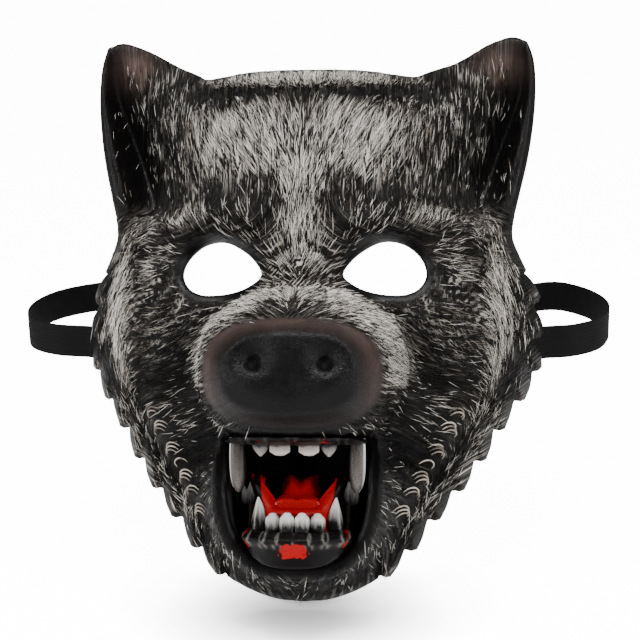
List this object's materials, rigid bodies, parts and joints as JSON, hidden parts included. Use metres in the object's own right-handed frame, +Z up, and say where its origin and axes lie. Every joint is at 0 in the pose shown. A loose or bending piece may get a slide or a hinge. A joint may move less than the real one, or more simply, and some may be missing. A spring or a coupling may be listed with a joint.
{
  "type": "foam wolf mask",
  "caption": "Moulded foam wolf face mask with open snarling mouth, bared teeth, eye holes, upright ears, scalloped edge and an elastic head strap",
  "frame": {"origin": "Between the eye holes, in the plane of the rim that sits against the wearer's temples", "axes": "+Z is up when worn, +X is to the mask's own left as the wearer faces -Y, and the snout points along -Y"},
  "size_m": [0.3157, 0.2529, 0.2495],
  "materials": {
    "painted_foam": "black moulded polyurethane foam, dry brushed with off-white fur strokes, satin black nose",
    "mouth_black": "black painted foam lining, semi matt",
    "dark_gum": "near black gum with a faint red tint, semi gloss",
    "red_gum": "bright red lacquered gum, gloss",
    "tongue": "bright red lacquered tongue, dark at the throat, gloss",
    "tooth": "white and silver painted tooth with dark root, gloss",
    "fang": "grey shaded fang with a white edge, gloss",
    "strap_pad": "black glued patch, matt",
    "webbing": "black ribbed elastic webbing, matt"
  },
  "bodies": {
    "root": {"face_shell": "painted_foam", "mouth_lining": "mouth_black", "upper_gum": "dark_gum", "lower_gum": "red_gum", "tongue": "tongue", "upper_plate_left": "tooth", "upper_plate_right": "tooth", "upper_incisor_left": "tooth", "upper_incisor_right": "tooth", "upper_canine_left": "fang", "upper_canine_right": "fang", "lower_incisor_inner_left": "tooth", "lower_incisor_inner_right": "tooth", "lower_incisor_outer_left": "tooth", "lower_incisor_outer_right": "tooth", "lower_canine_left": "tooth", "lower_canine_right": "tooth", "lower_premolar_left": "tooth", "lower_premolar_right": "tooth", "strap_pad_left": "strap_pad", "strap_pad_right": "strap_pad", "elastic_strap": "webbing"}
  },
  "joints": []
}
